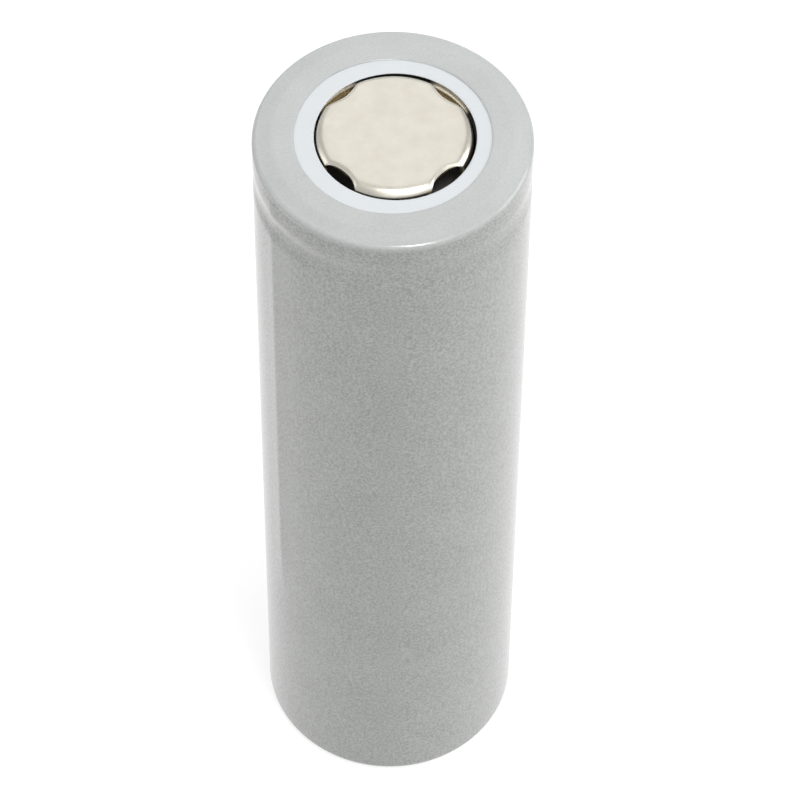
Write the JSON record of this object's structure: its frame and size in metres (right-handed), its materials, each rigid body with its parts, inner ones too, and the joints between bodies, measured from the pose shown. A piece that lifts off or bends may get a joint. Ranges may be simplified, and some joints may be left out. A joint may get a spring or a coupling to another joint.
{
  "type": "cylindrical battery cell",
  "caption": "Cylindrical lithium-ion cell in grey shrink film, with a crimped can, vented positive cap, white end washer and a wound electrode roll inside.",
  "frame": {"origin": "centre of the cell's lowest face, the film's fold on the negative end", "axes": "+Z along the cell's axis towards the positive cap; +X and +Y are any two directions across it, with the negative tab on +X"},
  "size_m": [0.0184, 0.0184, 0.065],
  "materials": {
    "shrink_film": "satin grey shrink film with a fine grain",
    "fibre_paper": "matt white pressed fibre",
    "can_steel": "nickel-plated, drawn, satin",
    "gasket_plastic": "milky moulded polymer",
    "cap_steel": "nickel-plated, warm, faintly mottled",
    "resistor_polymer": "black conductive polymer between thin foils",
    "aluminium_sheet": "pressed sheet, satin",
    "insulator_plastic": "milky moulded polymer",
    "tape": "amber polyimide tape",
    "nickel": "rolled strip",
    "cathode_coating": "black oxide coating on foil",
    "anode_coating": "dark graphite coating on foil",
    "separator_film": "white porous film",
    "pin_steel": "slotted tube"
  },
  "bodies": {
    "cell": {"sleeve": "shrink_film", "top_washer": "fibre_paper", "can": "can_steel", "crimp_gasket": "gasket_plastic", "positive_cap": "cap_steel", "ptc_ring": "resistor_polymer", "vent_disc": "aluminium_sheet", "cid_insulating_ring": "insulator_plastic", "cid_plate": "aluminium_sheet", "upper_insulator": "insulator_plastic", "lower_insulator": "insulator_plastic", "positive_tab": "aluminium_sheet", "positive_tab_tape": "tape", "negative_tab": "nickel", "negative_tab_tape": "tape", "roll_tape": "tape", "cathode": "cathode_coating", "anode": "anode_coating", "separator_inner": "separator_film", "separator_outer": "separator_film", "centre_pin": "pin_steel"},
    "cid_disc": {"vent_disc_centre": "aluminium_sheet"}
  },
  "joints": [
    {"name": "cid_trip", "type": "slide", "parent": "cell", "child": "cid_disc", "axis": [0, 0, 1], "range_m": [0, 0.0005]}
  ]
}
